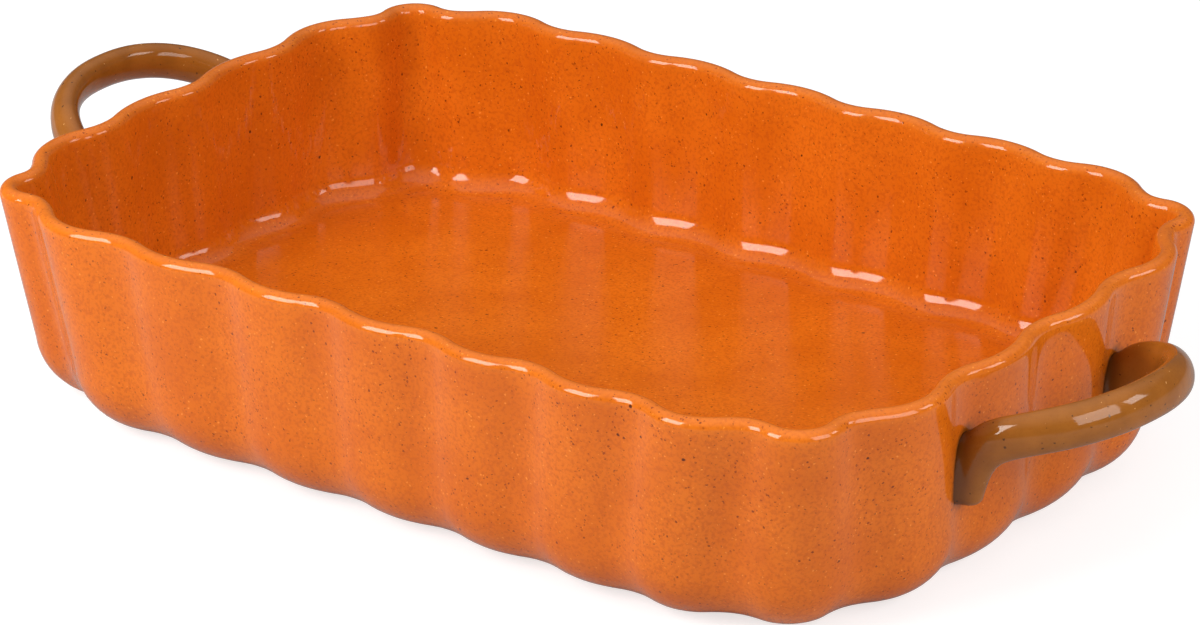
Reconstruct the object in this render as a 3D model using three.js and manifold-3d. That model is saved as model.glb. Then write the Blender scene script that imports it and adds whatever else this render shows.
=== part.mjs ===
// Rectangular fluted stoneware baking dish with a strap handle on each short side.
// Millimetres, +Z up. The origin is on the table under the middle of the dish, and +X points at the
// right handle.
import * as THREE from 'three';
import Module from 'manifold-3d';

const { lerp, clamp, degToRad } = THREE.MathUtils;

// Body: sizes over the flute crests, and the wall
const RIM_LENGTH = 356;
const RIM_WIDTH = 244;
const HEIGHT = 75.5;
const WALL = 6.5;
const WALL_DRAFT = 4; // degrees, each wall leans in towards the foot
const FLOOR = 10;
const FLOOR_FILLET = 8.5; // inside, from the wall to the floor
const FOOT_RADIUS = 23; // outside, from the wall to the foot ring
const FOOT_RING = 9; // width of the flat ring that stands on the table
const FOOT_RECESS = 2.5; // depth of the underside panel inside the ring
const RECESS_SLOPE = 3; // width of the step from the ring to the panel

// Plan: corners of the valley path at the rim and at the top of the foot curve
const RIM_CORNER_RADIUS = 60;
const FOOT_CORNER_RADIUS = 71;

// Flutes: round-backed lobes with a narrower round valley between them
const LONG_FLUTES = 7;
const SHORT_FLUTES = 4;
const RIM_FLUTE_DEPTH = 3.9;
const FOOT_FLUTE_DEPTH = 2.9; // at the top of the foot curve
const CORNER_EXTRA_DEPTH = 4; // the corner flutes are deeper by this much
const FRONT_NARROWING = 1; // each front flute is narrower than the one on its left by this much
const RIM_CORNER_FLUTE = 33; // width of each corner flute at the rim
const FOOT_CORNER_FLUTE = 41.5; // and at the top of the foot curve
const VALLEY_SHARE = 0.35; // valley radius as a share of valley and crest radius together
const MOST_VALLEY = 0.9; // and at most, where the inner face widens it
const FLOOR_RELIEF = 0.7; // flute depth left where the inner wall runs out into the floor
const RING_RELIEF = 0.8; // flute depth left at the outer edge of the foot ring
const PANEL_RELIEF = 0.3; // flute depth left at the edge of the underside panel

// Handles: an oval strap that leaves two flute valleys, climbs and arches outwards
const HANDLE_FLUTES = 2; // flutes that the arch spans
const HANDLE_REACH = 39.8; // level, from the wall to the middle of the strap
const HANDLE_THICKNESS = 14;
const HANDLE_WIDTH = 10;
const HANDLE_SQUARENESS = 2.2; // 2 is an ellipse, more is squarer
const HANDLE_DROP = 16.5; // the feet run down the wall by this much below the seat
const HANDLE_DROP_FADE = 4.2; // distance from the wall over which a foot turns outwards
const HANDLE_TIP = 4.5; // length of the rounded lower end of a foot
const RIGHT_SEAT_HEIGHT = 50.3; // the handles are set by hand, each at its own height and tilt
const RIGHT_TILT = 16.6; // degrees up from level
const RIGHT_LEAN = 3.1; // degrees, the back foot sits lower than the front one
const LEFT_SEAT_HEIGHT = 53.4;
const LEFT_TILT = 23;
const SEAT_GAP = 0.3; // slip joint between a handle's feet and the wall

// Facets
const FLUTE_FACETS = 6;
const CURVE_STEPS = 6;
const WALL_STEPS = 3;
const STRAP_SIDES = 16;
const STRAP_STEPS = 36;
const TIP_STEPS = 3;

const draft = degToRad(WALL_DRAFT);
const beadRadius = WALL / 2;
const beadHeight = HEIGHT - beadRadius;
const footTop = FOOT_RADIUS * (1 - Math.sin(draft));
const floorHeight = FOOT_RECESS + FLOOR;
const filletTop = floorHeight + FLOOR_FILLET * (1 - Math.sin(draft));

// The valley path at a height, a rounded rectangle that shrinks with the draft from the rim to the foot
// curve, with the depth of the flutes and the width of the corner flutes there.
function levelAt(height) {
  const fall = clamp((beadHeight - height) / (beadHeight - footTop), 0, 1);
  const inset = Math.tan(draft) * (beadHeight - footTop) * fall;
  const fluteDepth = lerp(RIM_FLUTE_DEPTH, FOOT_FLUTE_DEPTH, fall);
  const cornerFlute = lerp(RIM_CORNER_FLUTE, FOOT_CORNER_FLUTE, fall);
  const halfLength = RIM_LENGTH / 2 - fluteDepth - inset;
  const halfWidth = RIM_WIDTH / 2 - fluteDepth - inset;
  const radius = Math.min(lerp(RIM_CORNER_RADIUS, FOOT_CORNER_RADIUS, fall), halfLength, halfWidth);
  return { halfLength, halfWidth, radius, fluteDepth, cornerFlute };
}

// One of the four sides of a level: 0 front, 1 right, 2 back, 3 left. The flutes share what the corner
// flutes, which are centred on the diagonals, leave of the side.
function sideOf(level, index) {
  const long = index % 2 === 0;
  const half = long ? level.halfLength : level.halfWidth;
  const count = long ? LONG_FLUTES : SHORT_FLUTES;
  const straight = half - level.radius;
  const pitch = (straight + level.radius * Math.PI / 4 - level.cornerFlute / 2) / (count / 2);
  const out = long ? level.halfWidth : level.halfLength;
  return { index, count, straight, pitch, radius: level.radius, out };
}

// Where a flute of a side starts, as a distance along the path from the side's middle.
function fluteStart(side, flute) {
  const narrowing = side.index === 0 ? FRONT_NARROWING : 0;
  return (flute - side.count / 2) * side.pitch + narrowing / 2 * flute * (side.count - 1 - flute);
}

// A point on a side of the path and its outward normal, at a distance along it from the side's middle.
function pathPoint(side, distance) {
  const sign = Math.sign(distance);
  const turn = Math.max(Math.abs(distance) - side.straight, 0) / side.radius;
  const reach = turn > 0 ? side.straight + side.radius * Math.sin(turn) : Math.abs(distance);
  const middle = new THREE.Vector2(0, 0);
  const angle = side.index * Math.PI / 2;
  const point = new THREE.Vector2(sign * reach, side.radius * (1 - Math.cos(turn)) - side.out);
  const normal = new THREE.Vector2(sign * Math.sin(turn), -Math.cos(turn));
  return { point: point.rotateAround(middle, angle), normal: normal.rotateAround(middle, angle) };
}

// How far a flute stands out from the path, at a share of its width. A valley arc and a crest arc meet
// on a shared tangent. Deeper inside the wall the valley arc grows and the crest arc shrinks.
function fluteHeight(share, width, depth, inward) {
  const half = width / 2;
  const turn = 2 * Math.atan2(depth, half);
  const total = half / Math.sin(turn);
  const valley = Math.min(VALLEY_SHARE * total + inward, MOST_VALLEY * total);
  const crest = total - valley;
  const along = Math.min(share, 1 - share) * width;
  if (along <= valley * Math.sin(turn)) return valley - Math.sqrt(valley ** 2 - along ** 2);
  return depth - crest + Math.sqrt(Math.max(crest ** 2 - (half - along) ** 2, 0));
}

// A closed loop of points round the dish, counterclockwise seen from above. offset moves it outwards
// from the path, and relief scales the flutes.
function loopAt({ z, levelHeight = z, offset = 0, relief = 1 }) {
  const level = levelAt(levelHeight);
  const inward = clamp(-offset, 0, WALL);
  const loop = [];
  const addFlute = (side, start, end, depth) => {
    const width = end - start;
    for (let facet = 0; facet < FLUTE_FACETS; facet++) {
      const share = facet / FLUTE_FACETS;
      const { point, normal } = pathPoint(side, start + share * width);
      point.addScaledVector(normal, offset + relief * fluteHeight(share, width, depth, inward));
      loop.push(new THREE.Vector3(point.x, point.y, z));
    }
  };
  for (let index = 0; index < 4; index++) {
    const side = sideOf(level, index);
    for (let flute = 0; flute < side.count; flute++) {
      addFlute(side, fluteStart(side, flute), fluteStart(side, flute + 1), level.fluteDepth);
    }
    const cornerEnd = side.count * side.pitch / 2 + level.cornerFlute;
    addFlute(side, fluteStart(side, side.count), cornerEnd, level.fluteDepth + CORNER_EXTRA_DEPTH);
  }
  return loop;
}

// Numbers from one value to another in equal steps, both ends included.
function steps(from, to, count) {
  return Array.from({ length: count + 1 }, (_, step) => lerp(from, to, step / count));
}

// Joins loops of equally many points into a closed skin, with a point at each end.
function loft(loops, startPoint, endPoint) {
  const count = loops[0].length;
  const points = [startPoint, ...loops.flat(), endPoint];
  const last = points.length - 1;
  const at = (row, column) => 1 + row * count + column % count;
  const index = [];
  for (let column = 0; column < count; column++) {
    index.push(0, at(0, column + 1), at(0, column));
    for (let row = 0; row + 1 < loops.length; row++) {
      index.push(at(row, column), at(row, column + 1), at(row + 1, column + 1));
      index.push(at(row, column), at(row + 1, column + 1), at(row + 1, column));
    }
    index.push(last, at(loops.length - 1, column), at(loops.length - 1, column + 1));
  }
  const geometry = new THREE.BufferGeometry().setFromPoints(points);
  geometry.setIndex(index);
  geometry.computeVertexNormals();
  return geometry;
}

// The outer face, from the foot ring up the foot curve and the wall to the rim bead.
function outerRows(clearance) {
  const curve = steps(Math.PI / 2, draft, CURVE_STEPS).map((angle) => ({
    z: FOOT_RADIUS * (1 - Math.sin(angle)),
    levelHeight: footTop,
    offset: clearance + FOOT_RADIUS * (Math.cos(angle) - Math.cos(draft)),
    relief: lerp(1, RING_RELIEF, Math.max(0, 1 - 2 * Math.cos(angle))),
  }));
  const wall = steps(footTop, beadHeight, WALL_STEPS).slice(1).map((z) => ({ z, offset: clearance }));
  return [...curve, ...wall];
}

function bodyGeometry() {
  const ringInner = -FOOT_RADIUS * Math.cos(draft) - FOOT_RING;
  const underside = [
    { z: FOOT_RECESS, levelHeight: footTop, offset: ringInner - RECESS_SLOPE, relief: PANEL_RELIEF },
    { z: 0, levelHeight: footTop, offset: ringInner, relief: PANEL_RELIEF },
  ];
  const bead = steps(0, Math.PI, CURVE_STEPS).slice(1).map((angle) => ({
    z: beadHeight + beadRadius * Math.sin(angle),
    levelHeight: beadHeight,
    offset: -beadRadius * (1 - Math.cos(angle)),
  }));
  const innerWall = steps(beadHeight, filletTop, WALL_STEPS).slice(1).map((z) => ({ z, offset: -WALL }));
  const fillet = steps(draft, Math.PI / 2, CURVE_STEPS).slice(1).map((angle) => ({
    z: floorHeight + FLOOR_FILLET * (1 - Math.sin(angle)),
    levelHeight: filletTop,
    offset: -WALL - FLOOR_FILLET * (Math.cos(draft) - Math.cos(angle)),
    relief: lerp(FLOOR_RELIEF, 1, Math.cos(angle)),
  }));
  const rows = [...underside, ...outerRows(0), ...bead, ...innerWall, ...fillet];
  return loft(rows.map(loopAt), new THREE.Vector3(0, 0, FOOT_RECESS), new THREE.Vector3(0, 0, floorHeight));
}

// The whole dish as a plain block, a joint's gap larger than the body, to trim the handles' feet.
function seatGeometry() {
  const top = HEIGHT + SEAT_GAP;
  const rows = [...outerRows(SEAT_GAP), { z: top, levelHeight: beadHeight, offset: SEAT_GAP }];
  return loft(rows.map(loopAt), new THREE.Vector3(0, 0, 0), new THREE.Vector3(0, 0, top));
}

// The middle line of a handle: half a superellipse in a plane that tilts up from the wall, with feet
// that drop down the wall in the flute valleys.
class HandleCurve extends THREE.Curve {
  constructor({ end, seatHeight, tilt, lean }) {
    super();
    const wall = sideOf(levelAt(seatHeight), 1);
    Object.assign(this, { end, seatHeight, tilt, lean, wallX: wall.out });
    this.halfSpan = HANDLE_FLUTES / 2 * wall.pitch;
  }

  getPoint(t) {
    const power = 2 / HANDLE_SQUARENESS;
    const across = Math.cos(Math.PI * (1 - t));
    const y = Math.sign(across) * this.halfSpan * Math.abs(across) ** power;
    const reach = HANDLE_REACH * Math.max(Math.sin(Math.PI * t), 0) ** power;
    const drop = HANDLE_DROP * Math.exp(-reach / HANDLE_DROP_FADE);
    const z = this.seatHeight + reach * Math.tan(this.tilt) - drop - y * Math.tan(this.lean);
    return new THREE.Vector3(this.end * (this.wallX + reach), y, z);
  }
}

// An oval section swept along a handle's middle line, thick across its tilted plane, with round tips.
function strapGeometry(curve) {
  const planeNormal = new THREE.Vector3(-curve.end * Math.sin(curve.tilt), 0, Math.cos(curve.tilt));
  const ringAt = (u, shift, scale) => {
    const tangent = curve.getTangentAt(u);
    const widthAxis = new THREE.Vector3().crossVectors(tangent, planeNormal).normalize();
    const thickAxis = new THREE.Vector3().crossVectors(tangent, widthAxis);
    const centre = curve.getPointAt(u).addScaledVector(tangent, shift);
    return Array.from({ length: STRAP_SIDES }, (_, side) => {
      const angle = 2 * Math.PI * side / STRAP_SIDES;
      return centre.clone()
        .addScaledVector(widthAxis, scale * HANDLE_WIDTH / 2 * Math.cos(angle))
        .addScaledVector(thickAxis, scale * HANDLE_THICKNESS / 2 * Math.sin(angle));
    });
  };
  const tipAngles = steps(Math.PI / 2, 0, TIP_STEPS).slice(1, -1);
  const tip = (u, sign) => tipAngles.map((a) => ringAt(u, sign * HANDLE_TIP * Math.sin(a), Math.cos(a)));
  const loops = [
    ...tip(0, -1),
    ...steps(0, 1, STRAP_STEPS).map((u) => ringAt(u, 0, 1)),
    ...tip(1, 1).reverse(),
  ];
  const tipEnd = (u, sign) => curve.getPointAt(u).addScaledVector(curve.getTangentAt(u), sign * HANDLE_TIP);
  return loft(loops, tipEnd(0, -1), tipEnd(1, 1));
}

const wasm = await Module();
wasm.setup();

function solidOf(geometry) {
  const vertProperties = new Float32Array(geometry.getAttribute('position').array);
  const triVerts = new Uint32Array(geometry.getIndex().array);
  return new wasm.Manifold(new wasm.Mesh({ numProp: 3, vertProperties, triVerts }));
}

function geometryOf(solid) {
  const { vertProperties, triVerts } = solid.getMesh();
  const geometry = new THREE.BufferGeometry();
  geometry.setAttribute('position', new THREE.BufferAttribute(vertProperties, 3));
  geometry.setIndex(new THREE.BufferAttribute(triVerts, 1));
  geometry.computeVertexNormals();
  return geometry;
}

const orangeGlaze = new THREE.MeshStandardMaterial({ color: 0xd8621c, roughness: 0.15, metalness: 0 });
const brownGlaze = new THREE.MeshStandardMaterial({ color: 0x8a5a26, roughness: 0.18, metalness: 0 });

function named(name, geometry, material) {
  const mesh = new THREE.Mesh(geometry, material);
  mesh.name = name;
  return mesh;
}

const seat = solidOf(seatGeometry());

function handle(name, shape) {
  const curve = new HandleCurve(shape);
  const trimmed = solidOf(strapGeometry(curve)).subtract(seat);
  return named(name, geometryOf(trimmed), brownGlaze);
}

const dish = new THREE.Group();
dish.add(
  named('dish_body', bodyGeometry(), orangeGlaze),
  handle('right_handle', {
    end: 1, seatHeight: RIGHT_SEAT_HEIGHT, tilt: degToRad(RIGHT_TILT), lean: degToRad(RIGHT_LEAN),
  }),
  handle('left_handle', {
    end: -1, seatHeight: LEFT_SEAT_HEIGHT, tilt: degToRad(LEFT_TILT), lean: 0,
  }),
);

export default dish;
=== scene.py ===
import math

import bpy
import numpy as np
from mathutils import Matrix, Vector, noise
from mathutils.bvhtree import BVHTree


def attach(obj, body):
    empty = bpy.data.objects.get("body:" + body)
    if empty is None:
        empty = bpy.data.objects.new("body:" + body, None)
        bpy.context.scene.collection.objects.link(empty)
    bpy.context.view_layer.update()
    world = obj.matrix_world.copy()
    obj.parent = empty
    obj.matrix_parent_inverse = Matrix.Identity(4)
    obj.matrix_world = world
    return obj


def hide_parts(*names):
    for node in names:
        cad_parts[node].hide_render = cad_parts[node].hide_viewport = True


# The looks of a fluted stoneware baking dish with two strap handles. Lengths are in millimetres and
# angles in degrees until a mesh, lamp or camera is made.

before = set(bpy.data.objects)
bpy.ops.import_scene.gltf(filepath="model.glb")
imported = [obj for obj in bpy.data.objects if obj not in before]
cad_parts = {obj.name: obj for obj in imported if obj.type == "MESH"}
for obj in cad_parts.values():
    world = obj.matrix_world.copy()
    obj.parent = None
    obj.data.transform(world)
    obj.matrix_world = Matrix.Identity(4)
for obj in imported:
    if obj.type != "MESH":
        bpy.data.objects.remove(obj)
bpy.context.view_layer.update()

MM = 0.001

# Body: the same sizes as the solids
RIM_LENGTH = 356
RIM_WIDTH = 244
HEIGHT = 75.5
WALL = 6.5
WALL_DRAFT = 4
FLOOR = 10
FLOOR_FILLET = 8.5
FOOT_RADIUS = 23
FOOT_RING = 9
FOOT_RECESS = 2.5
RECESS_SLOPE = 3
RIM_CORNER_RADIUS = 60
FOOT_CORNER_RADIUS = 71

# Flutes
LONG_FLUTES = 7
SHORT_FLUTES = 4
RIM_FLUTE_DEPTH = 3.9
FOOT_FLUTE_DEPTH = 2.9
CORNER_EXTRA_DEPTH = 4
FRONT_NARROWING = 1
RIM_CORNER_FLUTE = 33
FOOT_CORNER_FLUTE = 41.5
VALLEY_SHARE = 0.35
MOST_VALLEY = 0.9
FLOOR_RELIEF = 0.7
RING_RELIEF = 0.8
PANEL_RELIEF = 0.3
RELIEF_RISE = 2

# Handles: the same sizes as the solids
HANDLE_FLUTES = 2
HANDLE_REACH = 39.8
HANDLE_THICKNESS = 14
HANDLE_WIDTH = 10
HANDLE_SQUARENESS = 2.2
HANDLE_DROP = 16.5
HANDLE_DROP_FADE = 4.2
HANDLE_TIP = 4.5
RIGHT_SEAT_HEIGHT = 50.3
RIGHT_TILT = 16.6
RIGHT_LEAN = 3.1
LEFT_SEAT_HEIGHT = 53.4
LEFT_TILT = 23

# Handle feet: pressed into the wall, with a small fillet of slip and glaze round them
FOOT_PRESS = 0.4
FOOT_FILLET = 3.0
FOOT_FLARE = 1.6
GLAZE_BLEED = 1.8
BLEED_BAND = 20
# How far from the wall the handle is darkened: pooled glaze and painted shade where the handle meets the
# wall
GLAZE_POOL_AND_SHADE = 8.0
LEAST_LENGTH = 0.1

# Unevenness of the thrown clay, always inwards, which grows from the foot up on the outside
BODY_WAVE = 0.22
BODY_WAVE_SPAN = 34
BODY_WAVE_RISE = 20
HANDLE_WAVE = 0.3
HANDLE_WAVE_SPAN = 16

# Where the paler glaze of the rim fades out, and how far up the foot curve the clay is bare
RIM_FADE = 3
BARE_FADE = 1.2

# Both glazes: how strongly they mirror, the warm tint of what they mirror, their roughness, and their pits
# with the span and the detail of the noise
GLAZE_IOR = 1.46
GLAZE_TINT = (1, 0.95, 0.88, 1)
GLAZE_ROUGHNESS = (0.06, 0.11)
PITS = (4.5, 2)
PIT_STRENGTH = 0.2
PIT_DEPTH = 0.1
SPECK_PIT = 0.5

# Specks: how far noise pulls their edges about and over which span, the spread of their sizes, and the
# full-coloured share of a radius
SPECK_RAG = 0.9
SPECK_RAG_SPAN = 0.8
SPECK_SPREAD = 1.5
SPECK_CORE = 0.6

# Clouds of noise: the part of the noise's range that is spread from 0 to 1
CLOUD_RANGE = (0.3, 0.7)
STREAK_RANGE = (0.5, 0.75)
CROWD_RANGE = (0.36, 0.62)
ORANGE_GRAIN_RANGE = (0.42, 0.68)
BROWN_GRAIN_RANGE = (0.5, 0.72)

# Orange glaze: span and detail of its clouds, and the streaks' scale along each axis; how much the fine
# specks show from their thinnest to their thickest crowds; spacing and radius of all specks
ORANGE_BLOTCHES = (26, 4)
STREAKS = (5, 3, (1, 1, 0.12))
ORANGE_GRAIN = (1.1, 3)
CROWDS = (16, 3)
CROWD_SHARES = (0.3, 0.9)
ORANGE_GLOSS = (7, 3)
FINE_SPECKS = (1.4, 0.34)
ORANGE_LIGHT_SPECKS = (2.0, 0.34)
ORANGE_DARK_SPECKS = (3.0, 0.40)
LARGE_SPECKS = (9, 0.55)

# Orange glaze: its two ground colours, and the share and the colour of each layer over them
ORANGE_DEEP = (0.61, 0.122, 0.004, 1)
ORANGE_BRIGHT = (0.69, 0.152, 0.007, 1)
STREAK_LAYER = (0.2, (0.54, 0.098, 0.006, 1))
ORANGE_GRAIN_LAYER = (0.6, (0.50, 0.084, 0.005, 1))
RIM_LAYER = (0.3, (0.70, 0.200, 0.020, 1))
FINE_COLOUR = (0.27, 0.040, 0.003, 1)
ORANGE_LIGHT_LAYER = (0.4, (0.95, 0.36, 0.05, 1))
ORANGE_DARK_LAYER = (0.85, (0.14, 0.018, 0.002, 1))
LARGE_LAYER = (0.9, (0.06, 0.008, 0.002, 1))
BLEED_COLOUR = (0.20, 0.055, 0.007, 1)
BARE_COLOUR = (0.62, 0.40, 0.22, 1)

# Inner floor and bare clay: rougher than the walls, and the floor mirrors less
FLOOR_ROUGHER = 0.16
FULL_MIRROR = 0.5
FLOOR_DULLER = 0.42
BARE_ROUGHER = 0.6

# Brown glaze: the same kinds of values
BROWN_BLOTCHES = (9, 4)
BROWN_GRAIN = (0.9, 2)
BROWN_GLOSS = (6, 3)
BROWN_LIGHT_SPECKS = (2.8, 0.25)
BROWN_DARK_SPECKS = (2.6, 0.38)
BROWN_DEEP = (0.26, 0.083, 0.010, 1)
BROWN_BRIGHT = (0.315, 0.103, 0.013, 1)
BROWN_GRAIN_LAYER = (0.35, (0.24, 0.070, 0.008, 1))
# Darker brown near the wall at the handle's feet: pooled glaze and painted shade
POOL_AND_SHADE_LAYER = (0.85, (0.075, 0.020, 0.003, 1))
BROWN_LIGHT_LAYER = (0.7, (0.80, 0.42, 0.14, 1))
BROWN_DARK_LAYER = (0.85, (0.05, 0.016, 0.003, 1))

# Mesh counts
FLUTE_COLUMNS = 26
CURVE_ROWS = 16
BEAD_ROWS = 20
WALL_ROWS = 22
RING_ROWS = 6
FLAT_ROWS = 12
STRAP_SIDES = 48
STRAP_STEPS = 180
TIP_STEPS = 10
LINE_SAMPLES = 4000

# Camera, found by fitting the rim, the foot and the flutes in the photograph
PICTURE_WIDTH = 1200
CAMERA_AZIMUTH = 37.475
CAMERA_ELEVATION = 23.957
CAMERA_ROLL = -0.519
CAMERA_DISTANCE = 1787.9
CAMERA_TARGET = (-37.49, 50.71, 0)
CAMERA_FOCAL_PIXELS = 5259.3
CAMERA_SHIFT_PIXELS = (3.58, 17.74)
SENSOR_WIDTH = 36

# Light: a soft box in front, one on the right, one on the left that the glaze doesn't mirror, a small one
# behind, and a soft glow from above
KEY_AZIMUTH = -20
KEY_ELEVATION = 34
KEY_DISTANCE = 1150
KEY_SIZE = (575, 610)
KEY_RADIANCE = 10.4
FILL_AZIMUTH = 82
FILL_ELEVATION = 27
FILL_DISTANCE = 900
FILL_SIZE = (506, 450)
FILL_RADIANCE = 4.5
LEFT_AZIMUTH = -75
LEFT_ELEVATION = 14
LEFT_DISTANCE = 1000
LEFT_SIZE = (500, 380)
LEFT_RADIANCE = 4.5
BACK_AZIMUTH = 120
BACK_ELEVATION = 29
BACK_DISTANCE = 1600
BACK_SIZE = (420, 420)
BACK_RADIANCE = 6
SKY_LOW = 0.12
SKY_HIGH = 0.95
SKY_LOW_SINE = 0.45

# Paper: pale, a hair below the foot ring, with a glow that makes it white to the camera, and the shares
# of this glow that the glaze mirrors and that light the dish
PAPER_SPAN = 9000
PAPER_DROP = 0.05
PAPER_COLOUR = (0.4, 0.4, 0.4, 1)
PAPER_ROUGHNESS = 0.9
PAPER_GLOW = 0.7
MIRRORED_GLOW = 0.08
BOUNCED_GLOW = 0.4
WHITE = (1, 1, 1, 1)

draft = math.radians(WALL_DRAFT)
bead_radius = WALL / 2
bead_height = HEIGHT - bead_radius
foot_top = FOOT_RADIUS * (1 - math.sin(draft))
floor_height = FOOT_RECESS + FLOOR
fillet_top = floor_height + FLOOR_FILLET * (1 - math.sin(draft))


def lerp(low, high, share):
    return low + (high - low) * share


def smooth(share):
    share = np.clip(share, 0, 1)
    return share * share * (3 - 2 * share)


# Plan of the dish

def level_at(height):
    """The valley path at a height: a rounded rectangle that shrinks from the rim to the foot curve."""
    fall = min(max((bead_height - height) / (bead_height - foot_top), 0), 1)
    inset = math.tan(draft) * (bead_height - foot_top) * fall
    depth = lerp(RIM_FLUTE_DEPTH, FOOT_FLUTE_DEPTH, fall)
    return {
        "depth": depth,
        "length": RIM_LENGTH / 2 - depth - inset,
        "width": RIM_WIDTH / 2 - depth - inset,
        "radius": lerp(RIM_CORNER_RADIUS, FOOT_CORNER_RADIUS, fall),
        "corner": lerp(RIM_CORNER_FLUTE, FOOT_CORNER_FLUTE, fall),
    }


def side_of(level, index):
    """One side of a level: 0 front, 1 right, 2 back, 3 left."""
    is_long = index % 2 == 0
    half, out = (level["length"], level["width"]) if is_long else (level["width"], level["length"])
    count = LONG_FLUTES if is_long else SHORT_FLUTES
    straight = half - level["radius"]
    pitch = (straight + level["radius"] * math.pi / 4 - level["corner"] / 2) / (count / 2)
    return {"index": index, "count": count, "straight": straight, "pitch": pitch,
            "radius": level["radius"], "out": out}


def flute_start(side, flute):
    """Where a flute starts, as a distance along its side from the side's middle."""
    narrowing = FRONT_NARROWING if side["index"] == 0 else 0
    return (flute - side["count"] / 2) * side["pitch"] + narrowing / 2 * flute * (side["count"] - 1 - flute)


def path_points(side, distance):
    """Points on a side and their outward normals, at distances along it from the side's middle."""
    sign = np.sign(distance)
    turn = np.maximum(np.abs(distance) - side["straight"], 0) / side["radius"]
    reach = np.where(turn > 0, side["straight"] + side["radius"] * np.sin(turn), np.abs(distance))
    point = np.column_stack([sign * reach, side["radius"] * (1 - np.cos(turn)) - side["out"]])
    normal = np.column_stack([sign * np.sin(turn), -np.cos(turn)])
    angle = side["index"] * math.pi / 2
    turned = np.array([[math.cos(angle), math.sin(angle)], [-math.sin(angle), math.cos(angle)]])
    return point @ turned, normal @ turned


def flute_height(share, width, depth, inward):
    """How far a flute stands out from the path: a valley arc and a crest arc on a shared tangent."""
    half = width / 2
    turn = 2 * math.atan2(depth, half)
    total = half / math.sin(turn)
    valley = min(VALLEY_SHARE * total + inward, MOST_VALLEY * total)
    crest = total - valley
    along = np.minimum(share, 1 - share) * width
    low = valley - np.sqrt(np.maximum(valley ** 2 - along ** 2, 0))
    high = depth - crest + np.sqrt(np.maximum(crest ** 2 - (half - along) ** 2, 0))
    return np.where(along <= valley * math.sin(turn), low, high)


def loop_at(z, level_height, offset=0.0, relief=1.0):
    """A closed loop of points round the dish, counterclockwise seen from above."""
    level = level_at(level_height)
    inward = min(max(-offset, 0), WALL)
    shares = np.arange(FLUTE_COLUMNS) / FLUTE_COLUMNS
    plan = []
    for index in range(4):
        side = side_of(level, index)
        starts = [flute_start(side, flute) for flute in range(side["count"] + 1)]
        starts.append(side["count"] * side["pitch"] / 2 + level["corner"])
        depths = [level["depth"]] * side["count"] + [level["depth"] + CORNER_EXTRA_DEPTH]
        for start, end, depth in zip(starts, starts[1:], depths):
            width = end - start
            point, normal = path_points(side, start + shares * width)
            height = offset + relief * flute_height(shares, width, depth, inward)
            plan.append(point + normal * height[:, None])
    plan = np.concatenate(plan)
    return np.column_stack([plan, np.full(len(plan), float(z))])


# Body mesh

def rim_share(z):
    """The share of rim glaze at a height on a wall: a half where the bead starts, and none further down."""
    return smooth((z - bead_height + RIM_FADE) / (2 * RIM_FADE))


def body_rows():
    """Loops from the edge of the underside panel round the outside and the rim to the inner floor.

    Each row is a loop with its share of rim glaze and of bare clay.
    """
    rows = []
    ring_outer = -FOOT_RADIUS * math.cos(draft)
    ring_inner = ring_outer - FOOT_RING
    for step in range(RING_ROWS + 1):
        share = step / RING_ROWS
        z = FOOT_RECESS * (1 - smooth(share))
        rows.append((loop_at(z, foot_top, ring_inner - RECESS_SLOPE * (1 - share), PANEL_RELIEF), 0, share))
    for step in range(1, RING_ROWS):
        share = step / RING_ROWS
        relief = lerp(PANEL_RELIEF, RING_RELIEF, share)
        rows.append((loop_at(0, foot_top, lerp(ring_inner, ring_outer, share), relief), 0, 1))
    for step in range(CURVE_ROWS + 1):
        angle = lerp(math.pi / 2, draft, step / CURVE_ROWS)
        z = FOOT_RADIUS * (1 - math.sin(angle))
        offset = FOOT_RADIUS * (math.cos(angle) - math.cos(draft))
        relief = lerp(1, RING_RELIEF, max(0, 1 - RELIEF_RISE * math.cos(angle)))
        rows.append((loop_at(z, foot_top, offset, relief), 0, 1 - smooth(z / BARE_FADE)))
    for step in range(1, WALL_ROWS + 1):
        z = lerp(foot_top, bead_height, step / WALL_ROWS)
        rows.append((loop_at(z, z), rim_share(z), 0))
    for step in range(1, BEAD_ROWS + 1):
        angle = math.pi * step / BEAD_ROWS
        z = bead_height + bead_radius * math.sin(angle)
        offset = -bead_radius * (1 - math.cos(angle))
        rows.append((loop_at(z, bead_height, offset), 0.5 + 0.5 * math.sin(angle), 0))
    for step in range(1, WALL_ROWS + 1):
        z = lerp(bead_height, fillet_top, step / WALL_ROWS)
        rows.append((loop_at(z, z, -WALL), rim_share(z), 0))
    for step in range(1, CURVE_ROWS + 1):
        angle = lerp(draft, math.pi / 2, step / CURVE_ROWS)
        z = floor_height + FLOOR_FILLET * (1 - math.sin(angle))
        offset = -WALL - FLOOR_FILLET * (math.cos(draft) - math.cos(angle))
        rows.append((loop_at(z, fillet_top, offset, lerp(FLOOR_RELIEF, 1, math.cos(angle))), 0, 0))
    return rows


def flat_rows(loop):
    """Smaller and smaller copies of a loop, towards the middle."""
    shares = 1 - np.arange(1, FLAT_ROWS) / FLAT_ROWS
    return [(loop * np.array([share, share, 1]), 0, 0) for share in shares]


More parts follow.
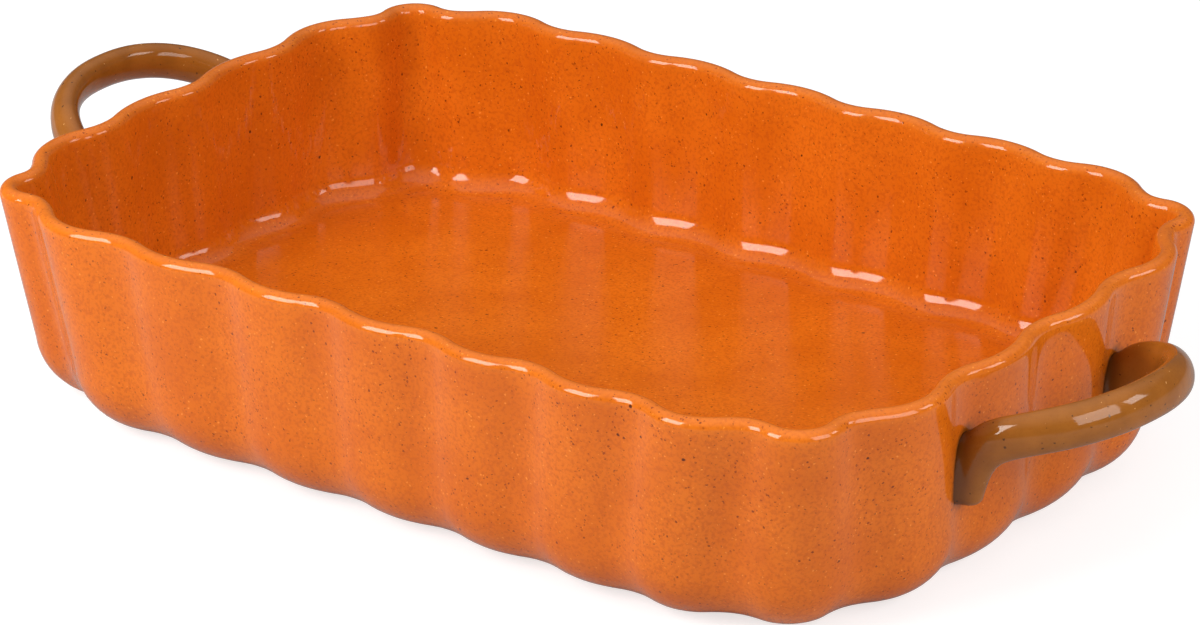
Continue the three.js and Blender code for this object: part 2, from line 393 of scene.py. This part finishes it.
def loft(name, loops, start, end):
    """A closed smooth mesh through loops of equally many points, with a point at each end."""
    count = len(loops[0])
    points = np.concatenate([[start], *loops, [end]]) * MM
    last = len(points) - 1
    here = np.arange(count)
    after = (here + 1) % count
    faces = [(0, 1 + b, 1 + a) for a, b in zip(here, after)]
    for row in range(len(loops) - 1):
        low = 1 + row * count
        high = low + count
        faces += [(low + a, low + b, high + b, high + a) for a, b in zip(here, after)]
    top = 1 + (len(loops) - 1) * count
    faces += [(last, top + a, top + b) for a, b in zip(here, after)]
    mesh = bpy.data.meshes.new(name)
    mesh.from_pydata(points.tolist(), [], [[int(corner) for corner in face] for face in faces])
    mesh.polygons.foreach_set("use_smooth", np.ones(len(faces), dtype=bool))
    mesh.update()
    return mesh


def coordinates(mesh):
    flat = np.zeros(len(mesh.vertices) * 3)
    mesh.vertices.foreach_get("co", flat)
    return flat.reshape(-1, 3)


def normals(mesh):
    flat = np.zeros(len(mesh.vertices) * 3)
    mesh.vertex_normals.foreach_get("vector", flat)
    return flat.reshape(-1, 3)


def move(mesh, points):
    mesh.vertices.foreach_set("co", points.ravel())
    mesh.update()


def paint(mesh, name, values):
    layer = mesh.attributes.new(name, "FLOAT", "POINT")
    layer.data.foreach_set("value", np.asarray(values, dtype=np.float32))


def wave(mesh, depth, span, strength):
    """Presses a mesh in by slow noise, up to a depth, by a strength at each point."""
    points = coordinates(mesh)
    shifts = np.array([noise.noise(Vector(point) / (span * MM)) for point in points])
    shifts = -depth * MM * np.clip(0.5 + 0.5 * shifts, 0, 1) * strength
    move(mesh, points + normals(mesh) * shifts[:, None])


def tree_of(mesh):
    return BVHTree.FromPolygons([v.co for v in mesh.vertices], [p.vertices for p in mesh.polygons])


def place(name, mesh, node):
    piece = bpy.data.objects.new(name, mesh)
    bpy.context.scene.collection.objects.link(piece)
    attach(piece, "root")
    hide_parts(node)
    return piece


def make_body():
    outside = body_rows()
    underside = flat_rows(outside[0][0])[::-1]
    inside = flat_rows(outside[-1][0])
    rows = underside + outside + inside
    mesh = loft("dish_body_look", [row[0] for row in rows], (0, 0, FOOT_RECESS), (0, 0, floor_height))
    count = len(rows[0][0])
    for name, column in (("rim", 1), ("bare", 2)):
        values = np.repeat([row[column] for row in rows], count)
        paint(mesh, name, np.concatenate([[0], values, [0]]))
    flat = np.repeat([0] * (len(rows) - len(inside)) + [1] * len(inside), count)
    paint(mesh, "flat", np.concatenate([[0], flat, [1]]))
    first_inner = len(underside) + len(outside) - CURVE_ROWS - WALL_ROWS - BEAD_ROWS
    outer = np.arange(len(mesh.vertices)) < first_inner * count
    height = coordinates(mesh)[:, 2] / MM
    wave(mesh, BODY_WAVE, BODY_WAVE_SPAN, np.where(outer, smooth(height / BODY_WAVE_RISE), 1))
    return mesh


# Handle meshes

def strap_loops(end, seat_height, tilt, lean):
    """Oval rings along a handle's middle line, with rounded tips, and the two tip points."""
    side = side_of(level_at(seat_height), 1)
    half_span = HANDLE_FLUTES / 2 * side["pitch"]
    power = 2 / HANDLE_SQUARENESS
    t = np.linspace(0, 1, LINE_SAMPLES)
    across = -np.cos(math.pi * t)
    y = np.sign(across) * half_span * np.abs(across) ** power
    reach = HANDLE_REACH * np.maximum(np.sin(math.pi * t), 0) ** power
    drop = HANDLE_DROP * np.exp(-reach / HANDLE_DROP_FADE)
    z = seat_height + reach * math.tan(tilt) - drop - y * math.tan(lean)
    line = np.column_stack([end * (side["out"] + reach), y, z])
    lengths = np.concatenate([[0], np.cumsum(np.linalg.norm(np.diff(line, axis=0), axis=1))])
    even = np.linspace(0, lengths[-1], STRAP_STEPS + 1)
    centres = np.column_stack([np.interp(even, lengths, line[:, axis]) for axis in range(3)])
    tangents = np.gradient(centres, axis=0)
    tangents /= np.linalg.norm(tangents, axis=1)[:, None]
    plane_normal = np.array([-end * math.sin(tilt), 0, math.cos(tilt)])
    angles = 2 * math.pi * np.arange(STRAP_SIDES) / STRAP_SIDES

    def ring(step, shift, scale):
        tangent = tangents[step]
        width_axis = np.cross(tangent, plane_normal)
        width_axis /= np.linalg.norm(width_axis)
        thick_axis = np.cross(tangent, width_axis)
        wide = HANDLE_WIDTH / 2 * scale * np.cos(angles)[:, None] * width_axis
        thick = HANDLE_THICKNESS / 2 * scale * np.sin(angles)[:, None] * thick_axis
        return centres[step] + tangent * shift + wide + thick

    tip_angles = [math.pi / 2 * step / TIP_STEPS for step in range(1, TIP_STEPS)]
    start = [ring(0, -HANDLE_TIP * math.cos(angle), math.sin(angle)) for angle in tip_angles]
    finish = [ring(STRAP_STEPS, HANDLE_TIP * math.cos(angle), math.sin(angle)) for angle in tip_angles]
    loops = start + [ring(step, 0, 1) for step in range(STRAP_STEPS + 1)] + finish[::-1]
    first = centres[0] - tangents[0] * HANDLE_TIP
    final = centres[-1] + tangents[-1] * HANDLE_TIP
    return loops, first, final


def make_handle(name, body_tree, end, seat_height, tilt, lean):
    loops, first, final = strap_loops(end, seat_height, math.radians(tilt), math.radians(lean))
    mesh = loft(name, loops, first, final)
    rings = [np.tile(loop.mean(axis=0), (STRAP_SIDES, 1)) for loop in loops]
    middles = np.concatenate([[first], *rings, [final]])
    wave(mesh, HANDLE_WAVE, HANDLE_WAVE_SPAN, 1)
    points = coordinates(mesh) / MM
    depth = np.zeros(len(points))
    for index, point in enumerate(points):
        origin = Vector((end * (abs(point[0]) + RIM_LENGTH), point[1], point[2])) * MM
        hit = body_tree.ray_cast(origin, Vector((-end, 0, 0)))[0]
        wall = abs(hit.x) / MM if hit else 0
        depth[index] = abs(point[0]) - wall
        points[index][0] = end * max(abs(point[0]), wall - FOOT_PRESS)
    outward = points - middles
    outward[:, 0] = 0
    outward /= np.maximum(np.linalg.norm(outward, axis=1), LEAST_LENGTH)[:, None]
    flare = FOOT_FLARE * np.clip(1 - np.maximum(depth, 0) / FOOT_FILLET, 0, 1) ** 2
    points += outward * flare[:, None]
    move(mesh, points * MM)
    # Marks the handle darker towards the wall: pooled glaze and painted shade at its feet
    paint(mesh, "pool_and_shade", 1 - smooth(depth / GLAZE_POOL_AND_SHADE))
    return mesh


def paint_bleed(mesh, trees):
    """Marks the body's glaze next to the handles' feet, where the brown glaze ran over it."""
    values = np.zeros(len(mesh.vertices))
    for index, vertex in enumerate(mesh.vertices):
        if abs(vertex.co.x) > (RIM_LENGTH / 2 - BLEED_BAND) * MM:
            near = min(tree.find_nearest(vertex.co)[3] for tree in trees) / MM
            values[index] = 1 - smooth(near / GLAZE_BLEED)
    paint(mesh, "bleed", values)


# Materials

class Nodes:
    """Adds nodes to a material's tree, and joins them by their sockets."""

    def __init__(self, name):
        self.material = bpy.data.materials.new(name)
        self.material.use_nodes = True
        self.tree = self.material.node_tree
        self.shader = self.tree.nodes["Principled BSDF"]
        self.place = self.add("ShaderNodeTexCoord").outputs["Object"]

    def add(self, kind, inputs=(), **settings):
        made = self.tree.nodes.new(kind)
        for name, value in settings.items():
            setattr(made, name, value)
        for key, value in dict(inputs).items():
            self.feed(made.inputs[key], value)
        return made

    def feed(self, socket, value):
        if isinstance(value, bpy.types.NodeSocket):
            self.tree.links.new(value, socket)
        else:
            socket.default_value = value

    def stretched(self, scale):
        """Coordinates in millimetres, scaled along each axis."""
        inputs = {"Vector": self.place, "Scale": [share / MM for share in scale]}
        return self.add("ShaderNodeMapping", inputs).outputs["Vector"]

    def cloud(self, span, detail, scale=(1, 1, 1)):
        """Smooth noise from 0 to 1 with blotches of about a span."""
        inputs = {"Vector": self.stretched(scale), "Scale": 1 / span, "Detail": detail}
        return self.add("ShaderNodeTexNoise", inputs).outputs["Fac"]

    def ramp(self, value, low, high, to_low=0.0, to_high=1.0):
        inputs = {"Value": value, "From Min": low, "From Max": high, "To Min": to_low, "To Max": to_high}
        return self.add("ShaderNodeMapRange", inputs, interpolation_type="SMOOTHSTEP").outputs["Result"]

    def maths(self, operation, first, second):
        return self.add("ShaderNodeMath", {0: first, 1: second}, operation=operation).outputs["Value"]

    def specks(self, spacing, radius):
        """Ragged specks of many sizes, up to a radius or so, a grain in each cube of the spacing."""
        plain = self.stretched((1, 1, 1))
        shift = self.add("ShaderNodeTexNoise", {"Vector": plain, "Scale": 1 / SPECK_RAG_SPAN, "Detail": 1})
        inputs = {0: shift.outputs["Color"], 1: [SPECK_RAG] * 3, 2: plain}
        ragged = self.add("ShaderNodeVectorMath", inputs, operation="MULTIPLY_ADD").outputs["Vector"]
        cells = self.add("ShaderNodeTexVoronoi", {"Vector": ragged, "Scale": 1 / spacing})
        edge = self.maths("MULTIPLY", cells.outputs["Color"], SPECK_SPREAD * radius / spacing)
        return self.ramp(cells.outputs["Distance"], edge, self.maths("MULTIPLY", edge, SPECK_CORE))

    def mix(self, share, low, high):
        made = self.add("ShaderNodeMix", {0: share}, data_type="RGBA")
        colours = [socket for socket in made.inputs if socket.type == "RGBA"]
        self.feed(colours[0], low)
        self.feed(colours[1], high)
        return [socket for socket in made.outputs if socket.type == "RGBA"][0]

    def cover(self, colour, mask, share, layer_colour):
        """A colour with a share of another colour laid over it where a mask is 1."""
        return self.mix(self.maths("MULTIPLY", mask, share), colour, layer_colour)

    def attribute(self, name):
        return self.add("ShaderNodeAttribute", attribute_name=name).outputs["Fac"]

    def pitted(self, specks):
        """Normals of a slightly uneven glaze with a pit at each speck."""
        height = self.maths("SUBTRACT", self.cloud(*PITS), self.maths("MULTIPLY", specks, SPECK_PIT))
        inputs = {"Height": height, "Strength": PIT_STRENGTH, "Distance": PIT_DEPTH * MM}
        return self.add("ShaderNodeBump", inputs).outputs["Normal"]

    def set(self, **inputs):
        for name, value in inputs.items():
            self.feed(self.shader.inputs[name.replace("_", " ")], value)


def orange_glaze():
    nodes = Nodes("orange_glaze_look")
    blotches = nodes.ramp(nodes.cloud(*ORANGE_BLOTCHES), *CLOUD_RANGE)
    colour = nodes.mix(blotches, ORANGE_DEEP, ORANGE_BRIGHT)
    streaks = nodes.ramp(nodes.cloud(*STREAKS), *STREAK_RANGE)
    colour = nodes.cover(colour, streaks, *STREAK_LAYER)
    grain = nodes.ramp(nodes.cloud(*ORANGE_GRAIN), *ORANGE_GRAIN_RANGE)
    colour = nodes.cover(colour, grain, *ORANGE_GRAIN_LAYER)
    colour = nodes.cover(colour, nodes.attribute("rim"), *RIM_LAYER)
    crowds = nodes.ramp(nodes.cloud(*CROWDS), *CROWD_RANGE, *CROWD_SHARES)
    colour = nodes.cover(colour, nodes.specks(*FINE_SPECKS), crowds, FINE_COLOUR)
    colour = nodes.cover(colour, nodes.specks(*ORANGE_LIGHT_SPECKS), *ORANGE_LIGHT_LAYER)
    dark = nodes.specks(*ORANGE_DARK_SPECKS)
    colour = nodes.cover(colour, dark, *ORANGE_DARK_LAYER)
    colour = nodes.cover(colour, nodes.specks(*LARGE_SPECKS), *LARGE_LAYER)
    colour = nodes.mix(nodes.attribute("bleed"), colour, BLEED_COLOUR)
    bare = nodes.attribute("bare")
    colour = nodes.mix(bare, colour, BARE_COLOUR)
    flat = nodes.attribute("flat")
    roughness = nodes.ramp(nodes.cloud(*ORANGE_GLOSS), *CLOUD_RANGE, *GLAZE_ROUGHNESS)
    roughness = nodes.maths("ADD", roughness, nodes.maths("MULTIPLY", flat, FLOOR_ROUGHER))
    roughness = nodes.maths("ADD", roughness, nodes.maths("MULTIPLY", bare, BARE_ROUGHER))
    mirror = nodes.maths("SUBTRACT", FULL_MIRROR, nodes.maths("MULTIPLY", flat, FLOOR_DULLER))
    nodes.set(Base_Color=colour, Roughness=roughness, Normal=nodes.pitted(dark))
    nodes.set(IOR=GLAZE_IOR, Specular_Tint=GLAZE_TINT, Specular_IOR_Level=mirror)
    return nodes.material


def brown_glaze():
    nodes = Nodes("brown_glaze_look")
    blotches = nodes.ramp(nodes.cloud(*BROWN_BLOTCHES), *CLOUD_RANGE)
    colour = nodes.mix(blotches, BROWN_DEEP, BROWN_BRIGHT)
    grain = nodes.ramp(nodes.cloud(*BROWN_GRAIN), *BROWN_GRAIN_RANGE)
    colour = nodes.cover(colour, grain, *BROWN_GRAIN_LAYER)
    # Pooled glaze and painted shade: darker brown where the handle meets the wall
    colour = nodes.cover(colour, nodes.attribute("pool_and_shade"), *POOL_AND_SHADE_LAYER)
    colour = nodes.cover(colour, nodes.specks(*BROWN_LIGHT_SPECKS), *BROWN_LIGHT_LAYER)
    dark = nodes.specks(*BROWN_DARK_SPECKS)
    colour = nodes.cover(colour, dark, *BROWN_DARK_LAYER)
    roughness = nodes.ramp(nodes.cloud(*BROWN_GLOSS), *CLOUD_RANGE, *GLAZE_ROUGHNESS)
    nodes.set(Base_Color=colour, Roughness=roughness, Normal=nodes.pitted(dark))
    nodes.set(IOR=GLAZE_IOR, Specular_Tint=GLAZE_TINT)
    return nodes.material


# Studio

def direction(azimuth, elevation):
    """Unit vector towards a place seen from the dish: azimuth 0 is the front, 90 the right."""
    turn, lift = math.radians(azimuth), math.radians(elevation)
    return Vector((math.sin(turn) * math.cos(lift), -math.cos(turn) * math.cos(lift), math.sin(lift)))


def make_camera():
    back = direction(CAMERA_AZIMUTH, CAMERA_ELEVATION)
    turn, roll = math.radians(CAMERA_AZIMUTH), math.radians(CAMERA_ROLL)
    level_right = Vector((math.cos(turn), math.sin(turn), 0))
    level_up = back.cross(level_right)
    right = level_right * math.cos(roll) + level_up * math.sin(roll)
    up = level_up * math.cos(roll) - level_right * math.sin(roll)
    lens = bpy.data.cameras.new("camera")
    lens.sensor_fit = "HORIZONTAL"
    lens.sensor_width = SENSOR_WIDTH
    lens.lens = CAMERA_FOCAL_PIXELS / PICTURE_WIDTH * SENSOR_WIDTH
    lens.shift_x = CAMERA_SHIFT_PIXELS[0] / PICTURE_WIDTH
    lens.shift_y = CAMERA_SHIFT_PIXELS[1] / PICTURE_WIDTH
    camera = bpy.data.objects.new("camera", lens)
    turned = Matrix((right, up, back)).transposed().to_4x4()
    place_at = (Vector(CAMERA_TARGET) + back * CAMERA_DISTANCE) * MM
    camera.matrix_world = Matrix.Translation(place_at) @ turned
    bpy.context.scene.collection.objects.link(camera)
    bpy.context.scene.camera = camera


def make_lamp(name, azimuth, elevation, distance, size, radiance, mirrored=True):
    """A soft box at a direction, facing the dish, that the glaze mirrors or not."""
    lamp = bpy.data.lights.new(name, "AREA")
    lamp.shape = "RECTANGLE"
    lamp.size = size[0] * MM
    lamp.size_y = size[1] * MM
    lamp.energy = radiance * math.pi * lamp.size * lamp.size_y
    holder = bpy.data.objects.new(name, lamp)
    holder.visible_glossy = mirrored
    holder.location = direction(azimuth, elevation) * distance * MM
    holder.rotation_euler = direction(azimuth, elevation).to_track_quat("Z", "Y").to_euler()
    bpy.context.scene.collection.objects.link(holder)


def make_sky():
    world = bpy.data.worlds.new("studio")
    bpy.context.scene.world = world
    world.use_nodes = True
    nodes = world.node_tree.nodes
    links = world.node_tree.links
    split = nodes.new("ShaderNodeSeparateXYZ")
    links.new(nodes.new("ShaderNodeTexCoord").outputs["Generated"], split.inputs[0])
    height = nodes.new("ShaderNodeMapRange")
    height.inputs["From Min"].default_value = SKY_LOW_SINE
    height.inputs["To Min"].default_value = SKY_LOW
    height.inputs["To Max"].default_value = SKY_HIGH
    links.new(split.outputs["Z"], height.inputs["Value"])
    background = nodes["Background"]
    background.inputs["Color"].default_value = WHITE
    links.new(height.outputs["Result"], background.inputs["Strength"])


def make_floor():
    """Pale paper that looks white to the camera and still takes the shadow."""
    half = PAPER_SPAN / 2 * MM
    low = -PAPER_DROP * MM
    corners = [(-half, -half, low), (half, -half, low), (half, half, low), (-half, half, low)]
    mesh = bpy.data.meshes.new("floor")
    mesh.from_pydata(corners, [], [(0, 1, 2, 3)])
    floor = bpy.data.objects.new("floor", mesh)
    bpy.context.scene.collection.objects.link(floor)
    nodes = Nodes("floor_paper")
    rays = nodes.add("ShaderNodeLightPath").outputs
    seen = nodes.maths("MAXIMUM", rays["Is Camera Ray"], rays["Is Transmission Ray"])
    seen = nodes.maths("MAXIMUM", seen, nodes.maths("MULTIPLY", rays["Is Glossy Ray"], MIRRORED_GLOW))
    seen = nodes.maths("MAXIMUM", seen, nodes.maths("MULTIPLY", rays["Is Diffuse Ray"], BOUNCED_GLOW))
    nodes.set(Base_Color=PAPER_COLOUR, Roughness=PAPER_ROUGHNESS, Specular_IOR_Level=0)
    nodes.set(Emission_Color=WHITE, Emission_Strength=nodes.maths("MULTIPLY", seen, PAPER_GLOW))
    mesh.materials.append(nodes.material)


make_camera()

body = make_body()
body_tree = tree_of(body)
right = make_handle("right_handle_look", body_tree, 1, RIGHT_SEAT_HEIGHT, RIGHT_TILT, RIGHT_LEAN)
left = make_handle("left_handle_look", body_tree, -1, LEFT_SEAT_HEIGHT, LEFT_TILT, 0)
paint_bleed(body, [tree_of(right), tree_of(left)])

orange = orange_glaze()
brown = brown_glaze()
body.materials.append(orange)
right.materials.append(brown)
left.materials.append(brown)
place("glazed_body", body, "dish_body")
place("glazed_right_handle", right, "right_handle")
place("glazed_left_handle", left, "left_handle")

make_floor()
make_sky()
make_lamp("key", KEY_AZIMUTH, KEY_ELEVATION, KEY_DISTANCE, KEY_SIZE, KEY_RADIANCE)
make_lamp("fill", FILL_AZIMUTH, FILL_ELEVATION, FILL_DISTANCE, FILL_SIZE, FILL_RADIANCE)
make_lamp("left", LEFT_AZIMUTH, LEFT_ELEVATION, LEFT_DISTANCE, LEFT_SIZE, LEFT_RADIANCE, mirrored=False)
make_lamp("back", BACK_AZIMUTH, BACK_ELEVATION, BACK_DISTANCE, BACK_SIZE, BACK_RADIANCE)
bpy.context.scene.view_settings.view_transform = "Standard"
